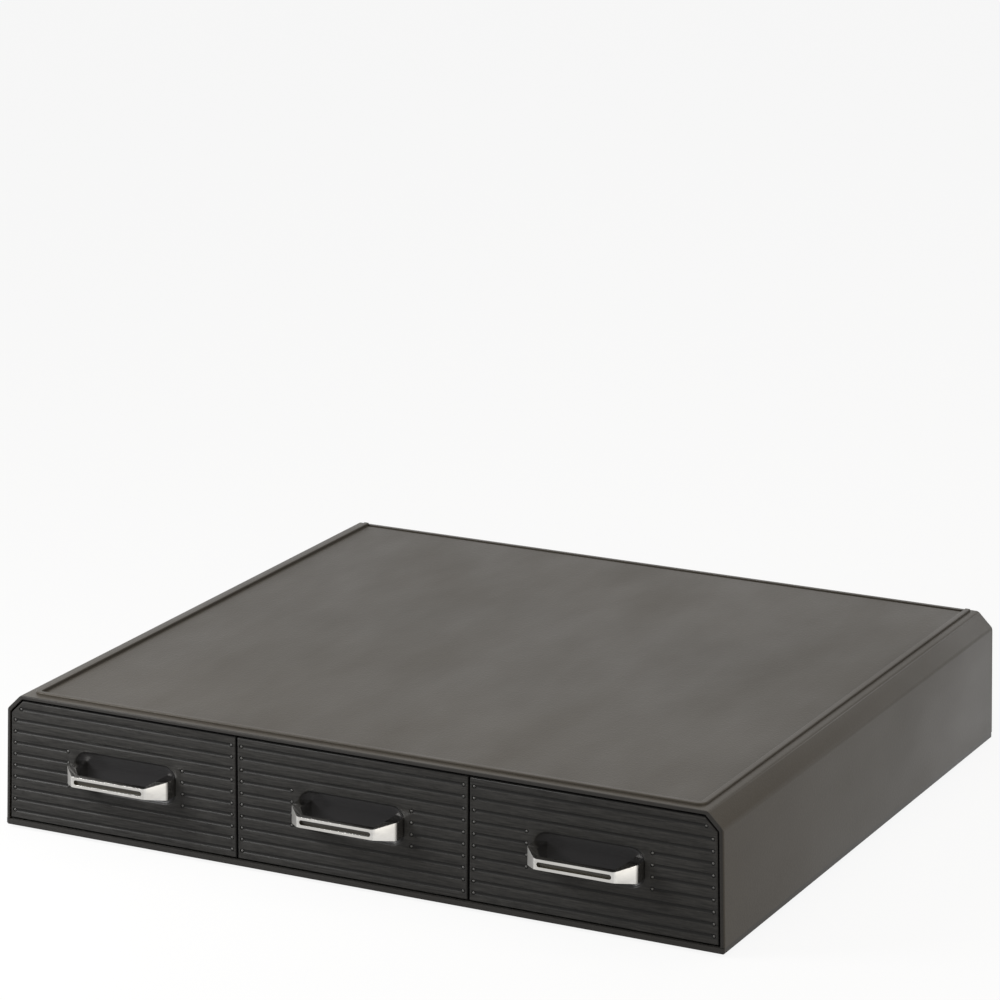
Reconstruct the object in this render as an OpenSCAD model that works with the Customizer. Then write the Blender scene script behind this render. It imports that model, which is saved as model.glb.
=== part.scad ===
// Three-bay coffee pod drawer: a low casing that carries a coffee machine on its top,
// with three pull-out trays side by side. X runs across the front, Y to the rear, Z up.

/* [Pods] */
// Widest diameter of a pod, across its lid
pod_d = 51; // [48:0.5:52]
// Spare width of each lane of pods
pod_room = 0.2; // [0.1:0.1:0.6]
// Height of a pod
pod_h = 46; // [42:0.5:50]
// Pods from front to back in each lane
pod_rows = 5; // [4:1:6]
// Distance between pods from front to back
pod_pitch = 58; // [54:0.5:60]
// Inner diameter of the ring that a pod's base stands in
seat_d = 41; // [36:0.5:44]
// Width of that ring
seat_w = 1.4; // [1:0.1:2]
// Height of that ring
seat_h = 1.6; // [1:0.1:3]

/* [Trays] */
// Thickness of a tray's side and rear walls
tray_wall = 1.5; // [1.2:0.1:1.8]
// Thickness of a tray's front wall, which the handle screws clamp
tray_front = 2; // [1.6:0.1:3]
// Thickness of a tray's floor
tray_floor = 1.8; // [1.4:0.1:2.4]
// Height of a tray over all
tray_h = 46; // [30:0.5:47]
// Radius of a tray's rear corners
tray_r = 5; // [3:0.5:8]
// Thickness of the low rib between the two lanes
lane_t = 1.6; // [1.2:0.1:2.4]
// Height of that rib above the floor
lane_h = 12; // [6:0.5:20]
// Distance that a drawer pulls out
travel = 235; // [180:1:240]
// Length of the ramped stop on top of each tray wall
stop_l = 12; // [8:0.5:18]
// Height by which that stop overlaps the lintel
stop_bite = 2; // [1.5:0.1:2.4]

/* [Casing] */
// Thickness of the base panel
base_t = 2.8; // [2.4:0.1:3]
// Thickness of the top
top_t = 2.4; // [2:0.1:3]
// Thickness of the side walls
wall = 2.2; // [1.8:0.1:2.6]
// Thickness of the back panel
back_t = 2.4; // [2.2:0.1:3]
// Distance from an outer tray to the bottom outer edge of the casing
side_room = 7.9; // [7.5:0.1:10]
// Distance from the trays to the back panel
rear_room = 7.1; // [6.5:0.1:20]
// Inward lean of the side walls, in degrees
side_draft = 1.9; // [0.5:0.1:2.5]
// Bevel along the two long top edges
top_bevel = 6.8; // [5:0.1:7.5]
// Bevel along the two long bottom edges
bottom_bevel = 0.6; // [0.3:0.1:1.5]
// Width of the rim beside the drawer fronts
rim_side = 1.7; // [1.4:0.1:2]
// Height of the rim above the drawer fronts
rim_top = 1.5; // [1.2:0.1:1.9]
// Height of the lintel that stops the drawers
lintel_h = 4.8; // [4.2:0.1:6]
// Thickness of the lintel
lintel_t = 2; // [1.6:0.1:3]
// Distance between neighbouring trays
bay_gap = 4; // [3.6:0.1:5]

/* [Top] */
// Plain border from the front edge to the bead
border_front = 4.6; // [4:0.1:10]
// Plain border from the side bevel to the bead
border_side = 3.5; // [2.5:0.1:6]
// Lip behind the rear groove
border_rear = 1.8; // [1.5:0.1:5]
// Width of the groove along the platform's rear edge
rear_groove_w = 2; // [1:0.1:3]
// Depth of that groove
rear_groove_d = 0.8; // [0.4:0.1:1.2]
// Width of the raised bead round the platform
bead_w = 2.6; // [2:0.1:3.2]
// Height of the bead above the border
bead_h = 1; // [0.7:0.05:1.2]
// Radius of the bead's two upper edges
bead_edge_r = 0.45; // [0.2:0.05:0.6]
// Depth to which the bead's root runs below the platform
bead_root = 0.5; // [0.3:0.05:0.8]
// Outward slope of the bead's sides, over their height
bead_batter = 0.1; // [0.05:0.05:0.2]
// Depth of the platform below the border
panel_drop = 0.3; // [0.1:0.05:0.6]
// Outer radius of the bead at the front corners
corner_r = 3.8; // [3.4:0.1:8]

/* [Drawer fronts] */
// Thickness of a drawer front's face
face_t = 2.6; // [2.2:0.1:3.2]
// Depth of a drawer front over all
front_d = 7; // [6:0.1:9]
// Thickness of the skirt behind the face
skirt_t = 1.8; // [1.4:0.1:2.4]
// Gap between a front and its neighbours
front_gap = 0.8; // [0.6:0.1:1.2]
// Gap between a front and the rim above it
lintel_gap = 1; // [0.7:0.1:1.3]
// Grooves across a front
line_n = 10; // [6:1:10]
// Distance between grooves
line_pitch = 5.15; // [4.6:0.05:5.3]
// Radius of a groove's round floor
line_r = 1.05; // [0.9:0.05:1.2]
// Depth of a groove
line_depth = 0.45; // [0.3:0.05:0.5]
// Radius of the dimple at a groove's end
line_dot_r = 0.95; // [0.9:0.05:1.1]
// Plain strip between a groove's end and the edge of the front
line_margin = 2; // [1.5:0.1:4]
// Grooves that stop at the plain field behind the handle
line_cut_n = 4; // [2:2:4]
// Room in the recess beside a foot of the handle
foot_room = 0.5; // [0.3:0.1:1.2]
// Room in the recess above and below a foot
recess_room = 5.15; // [4.5:0.05:6]
// Depth of that recess, where the handle's feet stand
recess_depth = 0.8; // [0.5:0.1:1.5]
// Radius of the recess's corners
recess_r = 6.5; // [2:0.1:6.5]
// Plain strip between the recess and the short grooves
field_margin = 2.9; // [2:0.1:6]
// Room between a foot and the finger scoop
scoop_margin = 1; // [0.5:0.1:3]
// Half the height of the finger scoop
scoop_rise = 8.4; // [6:0.1:8.5]
// Depth of the finger scoop below the recess
scoop_depth = 1.3; // [0.8:0.1:1.8]
// Wall left behind the recess and the scoop
scoop_wall = 1.4; // [1.2:0.1:1.5]

/* [Handle] */
// Half the width across the handle's feet
pull_half = 24.8; // [24:0.1:26]
// Half the length of the front bar
bar_half = 17.8; // [15:0.1:20]
// Distance that the handle stands out
pull_reach = 14.5; // [13:0.1:18]
// Depth of the straight feet
pull_foot_d = 6.5; // [5.5:0.1:8]
// Width of a foot
pull_foot_w = 5; // [4.6:0.1:5.2]
// Height of a foot
pull_foot_h = 8.1; // [7:0.1:10]
// Thickness of the splayed arms
arm_t = 3; // [2.4:0.1:3.4]
// Thickness of the front bar
bar_t = 3.2; // [2.6:0.1:4]
// Height of the front bar
bar_h = 4.6; // [4:0.1:6]
// Radius of the handle's outer bends
bend_r = 3; // [1:0.1:4]
// Height of the slot along the bar
slot_h = 2.1; // [1.6:0.1:2.8]
// Depth of the slot
slot_depth = 1.4; // [0.8:0.1:1.8]
// Solid length at each end of the slot
slot_end = 1.2; // [1:0.1:3]

/* [Dividers and runners] */
// Thickness of a divider's web
web_t = 1.6; // [1.2:0.1:2]
// Height of the guide rails beside the trays
rail_h = 4.5; // [4.2:0.1:6]
// Depth to which a divider is let into the base
divider_sink = 0.8; // [0.4:0.1:1]
// Height of the ribs that hold a divider's top edge
keeper_h = 2.4; // [1.6:0.1:2.5]
// Thickness of those ribs
keeper_t = 0.8; // [0.6:0.1:1]
// Height of the runners under the trays
runner_h = 1; // [0.8:0.1:1.6]
// Width of a runner
runner_w = 3; // [2:0.1:5]
// Distance of the runners from the middle of a tray
runner_x = 38; // [25:0.5:44]

/* [Fixings] */
// Radius of a casing screw
screw_r = 1.2; // [1:0.05:1.3]
// Radius of a casing screw's head
screw_head_r = 2.5; // [2.2:0.1:2.6]
// Height of a casing screw's head
screw_head_h = 1.2; // [0.8:0.1:1.2]
// Distance of the base screws from the tray side of their rail
screw_edge = 2.1; // [1.8:0.05:2.2]
// Depth that a casing screw bites
screw_bite = 3.8; // [3:0.1:3.9]
// Base screws along each side
base_screw_n = 4; // [2:1:6]
// Distance of the end screws from the front and rear faces
base_screw_inset = 22; // [18:1:60]
// Radius of a boss for a back screw
boss_r = 2.7; // [2.4:0.1:2.8]
// Length of that boss
boss_l = 7; // [5:0.1:9]
// Radius of a handle screw
pull_screw_r = 1.45; // [1.2:0.05:1.5]
// Radius of a handle screw's head
pull_head_r = 2.8; // [2.5:0.1:3.2]
// Height of a handle screw's head
pull_head_h = 1.6; // [1.2:0.1:2]
// Depth that a handle screw bites
pull_bite = 5.5; // [3.5:0.1:6.5]
// Radius of the boss round a handle screw
pull_boss_r = 3.4; // [3:0.1:4]

/* [Feet] */
// Height that a foot stands below the base
foot_h = 1.2; // [1:0.1:3]
// Radius of a foot
foot_r = 8; // [6:0.5:12]
// Radius of the peg that holds a foot
peg_r = 2.2; // [1.8:0.1:3]
// Length of that peg
peg_l = 1.9; // [1.4:0.1:1.9]
// Distance of a foot's centre from the casing's edges
foot_inset = 26; // [18:1:60]

/* [Clearances] */
// Running gap under and behind the drawers
slide_gap = 0.3; // [0.3:0.05:0.4]
// Running gap beside the trays
guide_gap = 0.4; // [0.3:0.05:0.6]
// Gap above the pods
head_room = 0.7; // [0.5:0.1:3]
// Gap round a panel let into another
seat_fit = 0.15; // [0.1:0.05:0.3]
// Gap round a screw or peg in its hole
hole_fit = 0.05; // [0.03:0.01:0.1]
// Gap round a screw in a part that it only passes through
pass_fit = 0.25; // [0.15:0.05:0.3]

/* [Hidden] */
$fn = 48;
eps = 0.01;
past = 1;

shell_tint = "#4a463f";
base_tint = "#403d38";
front_tint = "#343331";
tray_tint = "#2b2b2b";
chrome_tint = "#d8d8d6";
steel_tint = "#9a9c9e";
rubber_tint = "#202020";

// Widths, worked out from the pods
lane_w = pod_d + pod_room;
tray_w = 2 * lane_w + 2 * tray_wall;
bay_pitch = tray_w + bay_gap;
body_w = 2 * (bay_pitch + tray_w / 2 + side_room);

// Depths from the front face, worked out from the pods
tray_y0 = front_d;
tray_y1 = front_d + tray_front + pod_rows * pod_pitch + tray_wall;
back_y = tray_y1 + rear_room;
body_d = back_y + back_t;
front_y = -(body_d - pull_reach) / 2;
lintel_y0 = front_d + slide_gap;
lintel_y1 = lintel_y0 + lintel_t;
stop_y = lintel_y1 + slide_gap + travel;

// Heights from the surface that the feet stand on
base_top = foot_h + base_t;
tray_z = base_top + runner_h + slide_gap;
floor_z = tray_z + tray_floor;
tray_top = tray_z + tray_h;
lintel_z = floor_z + pod_h + head_room;
ceiling_z = lintel_z + lintel_h;
top_z = ceiling_z + top_t;
front_z0 = base_top + front_gap;
front_z1 = top_z - rim_top - lintel_gap;
mid_z = (front_z0 + front_z1) / 2;

// Places that several pieces share
rail_x = bay_pitch + tray_w / 2 + guide_gap;
pull_screw_x = pull_half - pull_foot_w / 2;
recess_half = pull_half + foot_room;
recess_rise = pull_foot_h / 2 + recess_room;
field_half = recess_half + field_margin;
scoop_half = pull_half - pull_foot_w - scoop_margin;
base_screw_x = rail_x + screw_edge;
base_screw_step = (body_d - 2 * base_screw_inset) / (base_screw_n - 1);
boss_z = ceiling_z - boss_r;
plate_half = half_w(top_z) - top_bevel - border_side;
bead_y1 = body_d - border_rear;
scoop_y = recess_depth + scoop_depth;
scoop_r = (scoop_rise * scoop_rise + scoop_depth * scoop_depth) / (2 * scoop_depth);
web_y0 = lintel_y1 + seat_fit;
web_y1 = back_y - seat_fit;

// Outer face of the side wall at height z
function half_w(z) = body_w / 2 - (z - foot_h) * tan(side_draft);

// Sum of x and z along the bevel of the outline that lies inset within the casing
function bevel_sum(inset) = half_w(top_z) - top_bevel + top_z - inset * sqrt(2);

// Height at which the side of that outline meets its bevel
function bevel_z(inset) =
  (bevel_sum(inset) + inset - body_w / 2 - foot_h * tan(side_draft)) / (1 - tan(side_draft));

// Right side of the casing's outline, inset from the sides and the top, from height low up
function right_edge(inset, drop, low) = [
  [half_w(low) - inset, low],
  [half_w(bevel_z(inset)) - inset, bevel_z(inset)],
  [bevel_sum(inset) - top_z + drop, top_z - drop]
];

// An outline's right side with its mirror image
function both_sides(edge) =
  concat(edge, [for (i = [len(edge) - 1 : -1 : 0]) [-edge[i][0], edge[i][1]]]);

// Outline of an outer drawer front, inset by d all round
function outer_front(d) =
  concat(
    [[(bay_pitch + front_gap) / 2 + d, front_z0 + d]],
    right_edge(rim_side + front_gap + d, top_z - front_z1 + d, front_z0 + d),
    [[(bay_pitch + front_gap) / 2 + d, front_z1 - d]]
  );

// Outline of the centre drawer front, inset by d all round
function centre_front(d) =
  let (x = (bay_pitch - front_gap) / 2 - d)
  [[-x, front_z0 + d], [x, front_z0 + d], [x, front_z1 - d], [-x, front_z1 - d]];

// Where a groove at height z stops on the outer side of a front
function line_end(outer, z) =
  outer
    ? min(half_w(z) - rim_side - front_gap, bevel_sum(rim_side + front_gap) - z - line_dot_r)
      - line_margin - bay_pitch
    : (bay_pitch - front_gap) / 2 - line_margin;

// A polygon's corner replaced by an arc of radius r that touches both of its sides
function round_corner(a, b, c, r, n = 6) =
  let (
    u = (a - b) / norm(a - b),
    v = (c - b) / norm(c - b),
    half = acos(u * v) / 2,
    middle = b + (u + v) / norm(u + v) * r / sin(half),
    p = b + u * r / tan(half) - middle,
    q = b + v * r / tan(half) - middle
  )
  [for (i = [0 : n]) middle + r * (p * (1 - i / n) + q * i / n) / norm(p * (1 - i / n) + q * i / n)];

module placed() {
  translate([0, front_y, 0]) children();
}

// A solid with an outline drawn across the front, running from y0 to y1
module along_y(points, y0, y1) {
  translate([0, y1, 0]) rotate([90, 0, 0]) linear_extrude(y1 - y0) polygon(points);
}

// A round rod along Y from y0 to y1
module rod_y(r, x, z, y0, y1) {
  translate([x, y1, z]) rotate([90, 0, 0]) cylinder(r = r, h = y1 - y0);
}

// ---- Casing ----

// Plan of the platform, inset by d from the outer edge of its bead, with round front corners
module platform(d, y1) {
  r = corner_r - d;
  x = plate_half - d;
  y0 = border_front + d;
  translate([-x, y0 + r]) square([2 * x, y1 - y0 - r]);
  translate([r - x, y0]) square([2 * (x - r), 2 * r]);
  for (side = [-1, 1]) translate([side * (x - r), y0 + r]) circle(r);
}

// Section of the bead, with rounded upper edges and a root below the platform
module bead_section() {
  edge_x = bead_w / 2 - bead_edge_r;
  edge_z = bead_h - bead_edge_r;
  translate([-edge_x, 0]) square([2 * edge_x, bead_h]);
  for (side = [-1, 1]) translate([side * edge_x, edge_z]) circle(bead_edge_r);
  polygon([
    [-bead_w / 2, edge_z],
    [-bead_w / 2 - bead_batter, -bead_root],
    [bead_w / 2 + bead_batter, -bead_root],
    [bead_w / 2, edge_z]
  ]);
}

// Raised bead along the front and both sides of the platform
module bead() {
  r = corner_r - bead_w / 2;
  x = plate_half - bead_w / 2;
  y = border_front + bead_w / 2;
  translate([0, 0, top_z]) {
    translate([r - x, y, 0]) rotate([90, 0, 90]) linear_extrude(2 * (x - r)) bead_section();
    for (side = [-1, 1]) {
      translate([side * x, bead_y1, 0]) rotate([90, 0, 0])
        linear_extrude(bead_y1 - y - r) bead_section();
      translate([side * (x - r), y + r, 0]) rotate([0, 0, side < 0 ? 180 : 270])
        rotate_extrude(angle = 90) translate([r, 0]) bead_section();
    }
  }
}

// Lowered field of the platform, with the groove along its rear edge
module platform_cuts() {
  field = plate_half - bead_w;
  translate([0, 0, top_z - panel_drop]) linear_extrude(panel_drop + past)
    platform(bead_w / 2, bead_y1);
  translate([-field, bead_y1 - rear_groove_w, top_z - rear_groove_d])
    cube([2 * field, rear_groove_w, rear_groove_d + past]);
}

// Rail inside a side wall, which guides an outer tray and takes the base screws
module side_rail() {
  along_y([
    [rail_x, base_top],
    [half_w(base_top) - wall / 2, base_top],
    [half_w(base_top + rail_h) - wall / 2, base_top + rail_h],
    [rail_x, base_top + rail_h]
  ], lintel_y0, back_y);
}

// Pair of ribs under the top that hold a divider's upper edge
module keeper() {
  inner = web_t / 2 + seat_fit;
  for (side = [-1, 1])
    translate([bay_pitch / 2 + side * (inner + keeper_t / 2) - keeper_t / 2, lintel_y0, ceiling_z - keeper_h])
      cube([keeper_t, back_y - lintel_y0, keeper_h + eps]);
}

module top_shell() {
  color(shell_tint) placed() difference() {
    union() {
      difference() {
        along_y(both_sides(right_edge(0, 0, base_top)), 0, body_d);
        along_y(both_sides(right_edge(rim_side, rim_top, base_top - past)), -past, lintel_y0);
        along_y(both_sides(right_edge(wall, top_t, base_top - past)), lintel_y0 - eps, body_d + past);
        platform_cuts();
      }
      bead();
      intersection() {
        along_y(both_sides(right_edge(wall / 2, top_t / 2, base_top)), lintel_y0, lintel_y1);
        translate([-body_w / 2, 0, lintel_z]) cube([body_w, body_d, top_z]);
      }
      side_rail();
      mirror([1, 0, 0]) side_rail();
      keeper();
      mirror([1, 0, 0]) keeper();
      for (bay = [-1 : 1]) rod_y(boss_r, bay * bay_pitch, boss_z, back_y - boss_l, back_y);
      for (bay = [-1 : 1])
        translate([bay * bay_pitch - boss_r, back_y - boss_l, boss_z])
          cube([2 * boss_r, boss_l, boss_r + eps]);
    }
    base_screw_places() cylinder(r = screw_r + hole_fit, h = screw_bite + hole_fit);
    for (bay = [-1 : 1])
      rod_y(screw_r + hole_fit, bay * bay_pitch, boss_z, back_y - screw_bite - hole_fit, back_y + past);
  }
}

// Child shapes at each base screw, on the top face of the base
module base_screw_places() {
  for (side = [-1, 1], i = [0 : base_screw_n - 1])
    translate([side * base_screw_x, base_screw_inset + i * base_screw_step, base_top]) children();
}

// Child shapes at each foot, on the underside of the base; x and y are -1 or 1
module foot_place(x, y) {
  translate([
    x * (body_w / 2 - foot_inset),
    y < 0 ? foot_inset : body_d - foot_inset,
    foot_h
  ]) children();
}

module base_panel() {
  edge = [
    [body_w / 2 - bottom_bevel, foot_h],
    [half_w(foot_h + bottom_bevel), foot_h + bottom_bevel],
    [half_w(base_top), base_top]
  ];
  slot = bay_gap - 2 * guide_gap + 2 * seat_fit;
  color(base_tint) placed() difference() {
    union() {
      along_y(both_sides(edge), 0, body_d);
      for (bay = [-1 : 1], side = [-1, 1])
        translate([bay * bay_pitch + side * runner_x - runner_w / 2, lintel_y1, base_top - eps])
          cube([runner_w, tray_y1 - lintel_y1, runner_h + eps]);
    }
    for (side = [-1, 1])
      translate([side * bay_pitch / 2 - slot / 2, web_y0 - seat_fit, base_top - divider_sink])
        cube([slot, web_y1 - web_y0 + 2 * seat_fit, divider_sink + past]);
    base_screw_places() {
      translate([0, 0, -base_t - past]) cylinder(r = screw_r + pass_fit, h = base_t + 2 * past);
      translate([0, 0, -base_t - past]) cylinder(r = screw_head_r + pass_fit, h = screw_head_h + past);
    }
    for (x = [-1, 1], y = [-1, 1])
      foot_place(x, y) translate([0, 0, -past]) cylinder(r = peg_r + hole_fit, h = peg_l + hole_fit + past);
  }
}

module back_panel() {
  color(base_tint) placed() difference() {
    along_y(both_sides(right_edge(wall + seat_fit, top_t + seat_fit, base_top)), back_y, body_d);
    for (bay = [-1 : 1]) {
      rod_y(screw_r + pass_fit, bay * bay_pitch, boss_z, back_y - past, body_d + past);
      rod_y(screw_head_r + pass_fit, bay * bay_pitch, boss_z, body_d - screw_head_h, body_d + past);
    }
  }
}

// A divider between two bays: a guide rail let into the base and a web held under the top
module bay_divider(side) {
  rail_w = bay_gap - 2 * guide_gap;
  color(base_tint) placed() translate([side * bay_pitch / 2, web_y0, base_top - divider_sink]) {
    translate([-rail_w / 2, 0, 0]) cube([rail_w, web_y1 - web_y0, rail_h + divider_sink]);
    translate([-web_t / 2, 0, rail_h]) cube([web_t, web_y1 - web_y0, ceiling_z - base_top + divider_sink - rail_h]);
  }
}

// Rubber foot with a small bevel round its tread and a peg in the base
module rubber_foot(x, y) {
  tread = foot_h / 3;
  color(rubber_tint) placed() foot_place(x, y) {
    rotate_extrude() polygon([
      [0, -foot_h], [foot_r - tread, -foot_h], [foot_r, tread - foot_h], [foot_r, 0],
      [peg_r, 0], [peg_r, peg_l], [0, peg_l]
    ]);
  }
}

// Pan-head screw pointing up: the underside of its head at z = 0
module screw(r, head_r, head_h, length) {
  socket_r = head_r / 2;
  difference() {
    union() {
      translate([0, 0, -head_h]) cylinder(r = head_r, h = head_h);
      cylinder(r = r, h = length);
    }
    translate([0, 0, -head_h - eps]) cylinder(r = socket_r, h = head_h / 2, $fn = 6);
  }
}

module base_screws() {
  grip = base_t - screw_head_h;
  color(steel_tint) placed() base_screw_places()
    translate([0, 0, -grip]) screw(screw_r, screw_head_r, screw_head_h, grip + screw_bite);
}

module back_screws() {
  grip = back_t - screw_head_h;
  color(steel_tint) placed() for (bay = [-1 : 1])
    translate([bay * bay_pitch, back_y + grip, boss_z]) rotate([90, 0, 0])
      screw(screw_r, screw_head_r, screw_head_h, grip + screw_bite);
}

// ---- Drawers ----

// Plan of a tray with round rear corners, inset by d
module tray_plan(d, y0, y1) {
  x = tray_w / 2 - d;
  r = tray_r - d;
  translate([-x, y0]) square([2 * x, y1 - y0 - r]);
  translate([r - x, y0]) square([2 * (x - r), y1 - y0]);
  for (side = [-1, 1]) translate([side * (x - r), y1 - r]) circle(r);
}

// Ramped stop on a tray wall, steep in front and sloping behind
module stop_ramp() {
  rise = lintel_z + stop_bite - tray_top;
  translate([-tray_wall / 2, 0, 0]) rotate([90, 0, 90]) linear_extrude(tray_wall)
    polygon([[0, -eps], [stop_l, -eps], [stop_l / 3, rise], [0, rise]]);
}

// Rings on the floor that the pods' bases stand in
module pod_seats() {
  for (lane = [-1, 1], row = [0 : pod_rows - 1])
    translate([lane * lane_w / 2, tray_y0 + tray_front + (row + 0.5) * pod_pitch, floor_z - eps])
      difference() {
        cylinder(r = seat_d / 2 + seat_w, h = seat_h + eps);
        translate([0, 0, -eps]) cylinder(r = seat_d / 2, h = seat_h + past);
      }
}

module tray(bay) {
  inner_y0 = tray_y0 + tray_front;
  inner_y1 = tray_y1 - tray_wall;
  color(tray_tint) placed() translate([bay * bay_pitch, 0, 0]) difference() {
    union() {
      difference() {
        translate([0, 0, tray_z]) linear_extrude(tray_h) tray_plan(0, tray_y0, tray_y1);
        translate([0, 0, floor_z]) linear_extrude(tray_h) tray_plan(tray_wall, inner_y0, inner_y1);
      }
      pod_seats();
      translate([-lane_t / 2, inner_y0 - eps, floor_z - eps])
        cube([lane_t, inner_y1 - inner_y0 + 2 * eps, lane_h + eps]);
      for (side = [-1, 1])
        translate([side * (tray_w - tray_wall) / 2, stop_y, tray_top]) stop_ramp();
    }
    for (side = [-1, 1])
      rod_y(pull_screw_r + pass_fit, side * pull_screw_x, mid_z, tray_y0 - past, inner_y0 + past);
  }
}

// One shallow groove across a front from x0 to x1, with a small round dimple at each end
module line_cut(x0, x1, z) {
  translate([x0, line_depth - line_r, z]) rotate([0, 90, 0]) rotate([0, 0, -90])
    cylinder(r = line_r, h = x1 - x0, $fn = 32);
  for (x = [x0, x1]) rod_y(line_dot_r, x, z, -past, line_depth * 0.8, $fn = 24);
}

// Grooves of a front about the middle of its bay; outer fronts reach further on one side
module line_cuts(outer) {
  inner_end = -(bay_pitch - front_gap) / 2 + line_margin;
  for (i = [0 : line_n - 1]) {
    z = mid_z + (i - (line_n - 1) / 2) * line_pitch;
    cut = abs(i - (line_n - 1) / 2) < line_cut_n / 2;
    line_cut(inner_end, cut ? -field_half : line_end(outer, z), z);
    if (cut) line_cut(field_half, line_end(outer, z), z);
  }
}

// Round-cornered recess behind the handle, with a shallow dish for the fingers
module scoop() {
  straight = scoop_half - scoop_rise;
  x = recess_half - recess_r;
  z = recess_rise - recess_r;
  translate([0, recess_depth, mid_z]) rotate([90, 0, 0]) linear_extrude(recess_depth + past) {
    square([2 * x, 2 * recess_rise], center = true);
    square([2 * recess_half, 2 * z], center = true);
    for (i = [-1, 1], j = [-1, 1]) translate([i * x, j * z]) circle(recess_r);
  }
  translate([0, scoop_y - scoop_r, mid_z]) {
    rotate([0, 90, 0]) translate([0, 0, -straight]) cylinder(r = scoop_r, h = 2 * straight, $fn = 96);
    for (side = [-1, 1]) translate([side * straight, 0, 0]) sphere(scoop_r, $fn = 96);
  }
}

// Pads and bosses behind a face, which carry it on the tray's front wall
module front_mounts() {
  pad_x = tray_w / 2 - pull_boss_r - tray_wall;
  low = front_z0 + skirt_t / 2 + pull_boss_r;
  high = tray_top - pull_boss_r;
  for (side = [-1, 1]) rod_y(pull_boss_r, side * pull_screw_x, mid_z, face_t - eps, tray_y0);
  for (side = [-1, 1], z = [low, high]) rod_y(pull_boss_r, side * pad_x, z, face_t - eps, tray_y0);
  translate([-recess_half - scoop_wall, face_t - eps, mid_z - recess_rise - scoop_wall])
    cube([2 * (recess_half + scoop_wall), scoop_y + scoop_wall - face_t + eps, 2 * (recess_rise + scoop_wall)]);
}

// A drawer front from its outlines, both drawn about the middle of its bay
module front_body(outline, hollow, outer) {
  difference() {
    union() {
      difference() {
        along_y(outline, 0, front_d);
        along_y(hollow, face_t, front_d + past);
      }
      front_mounts();
    }
    line_cuts(outer);
    scoop();
    for (side = [-1, 1])
      rod_y(pull_screw_r + pass_fit, side * pull_screw_x, mid_z, -past, tray_y0 + past);
  }
}

module front_panel(bay) {
  shift = [bay_pitch, 0];
  color(front_tint) placed() {
    if (bay == 0) front_body(centre_front(0), centre_front(skirt_t), false);
    else mirror([bay < 0 ? 1 : 0, 0, 0]) translate([bay_pitch, 0, 0])
      front_body(
        [for (p = outer_front(0)) p - shift],
        [for (p = outer_front(skirt_t)) p - shift],
        true
      );
  }
}

// Plan of the handle: straight feet, splayed arms and a bar across the front
function pull_plan() =
  let (
    run = pull_half - bar_half,
    fall = pull_reach - pull_foot_d,
    length = norm([run, fall]),
    t_bar = (arm_t * run / length + fall - bar_t) * length / fall,
    t_foot = (pull_foot_w - arm_t * fall / length) * length / run,
    start = [pull_half - arm_t * fall / length, arm_t * run / length - pull_foot_d],
    along = [-run, -fall] / length,
    foot = [pull_half, recess_depth],
    bend = [pull_half, -pull_foot_d],
    bar = [bar_half, -pull_reach],
    inner_bar = start + t_bar * along,
    inner_foot = start + t_foot * along
  )
  both_sides(concat(
    round_corner([0, inner_bar[1]], inner_bar, inner_foot, bend_r / 2),
    [inner_foot, [pull_half - pull_foot_w, recess_depth], foot],
    round_corner(foot, bend, bar, bend_r),
    round_corner(bend, bar, [0, -pull_reach], bend_r)
  ));

module handle(bay) {
  color(chrome_tint) placed() translate([bay * bay_pitch, 0, mid_z]) difference() {
    intersection() {
      translate([0, 0, -pull_foot_h / 2]) linear_extrude(pull_foot_h) polygon(pull_plan());
      translate([-pull_half, 0, 0]) rotate([90, 0, 90]) linear_extrude(2 * pull_half) polygon([
        [recess_depth, pull_foot_h / 2], [-pull_foot_d, pull_foot_h / 2], [bar_t - pull_reach, bar_h / 2],
        [-pull_reach, bar_h / 2], [-pull_reach, -bar_h / 2], [bar_t - pull_reach, -bar_h / 2],
        [-pull_foot_d, -pull_foot_h / 2], [recess_depth, -pull_foot_h / 2]
      ]);
    }
    bar_slot();
    for (side = [-1, 1])
      rod_y(pull_screw_r + hole_fit, side * pull_screw_x, 0, recess_depth - pull_bite - hole_fit, past + recess_depth);
  }
}

// Round-ended slot sunk in the face of the bar
module bar_slot() {
  x = bar_half - slot_end - slot_h / 2;
  y1 = slot_depth - pull_reach;
  for (side = [-1, 1]) rod_y(slot_h / 2, side * x, 0, -pull_reach - past, y1);
  translate([-x, -pull_reach - past, -slot_h / 2]) cube([2 * x, slot_depth + past, slot_h]);
}

module handle_screws(bay) {
  grip = tray_y0 + tray_front;
  color(steel_tint) placed() for (side = [-1, 1])
    translate([bay * bay_pitch + side * pull_screw_x, grip, mid_z]) rotate([90, 0, 0])
      screw(pull_screw_r, pull_head_r, pull_head_h, grip - recess_depth + pull_bite);
}

top_shell();
base_panel();
back_panel();
bay_divider(-1);  // bay_divider_left
bay_divider(1);  // bay_divider_right
rubber_foot(-1, -1);  // foot_front_left
rubber_foot(1, -1);  // foot_front_right
rubber_foot(-1, 1);  // foot_rear_left
rubber_foot(1, 1);  // foot_rear_right
base_screws();
back_screws();
tray(-1);  // tray_left
front_panel(-1);  // front_left
handle(-1);  // handle_left
handle_screws(-1);  // handle_screws_left
tray(0);  // tray_centre
front_panel(0);  // front_centre
handle(0);  // handle_centre
handle_screws(0);  // handle_screws_centre
tray(1);  // tray_right
front_panel(1);  // front_right
handle(1);  // handle_right
handle_screws(1);  // handle_screws_right
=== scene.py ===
"""Looks of a three-bay coffee pod drawer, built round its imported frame."""

import logging
import math
from collections.abc import Callable, Sequence
from dataclasses import dataclass
from enum import Enum
from typing import Any

import bmesh
import bpy
from mathutils import Matrix, Vector

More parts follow.
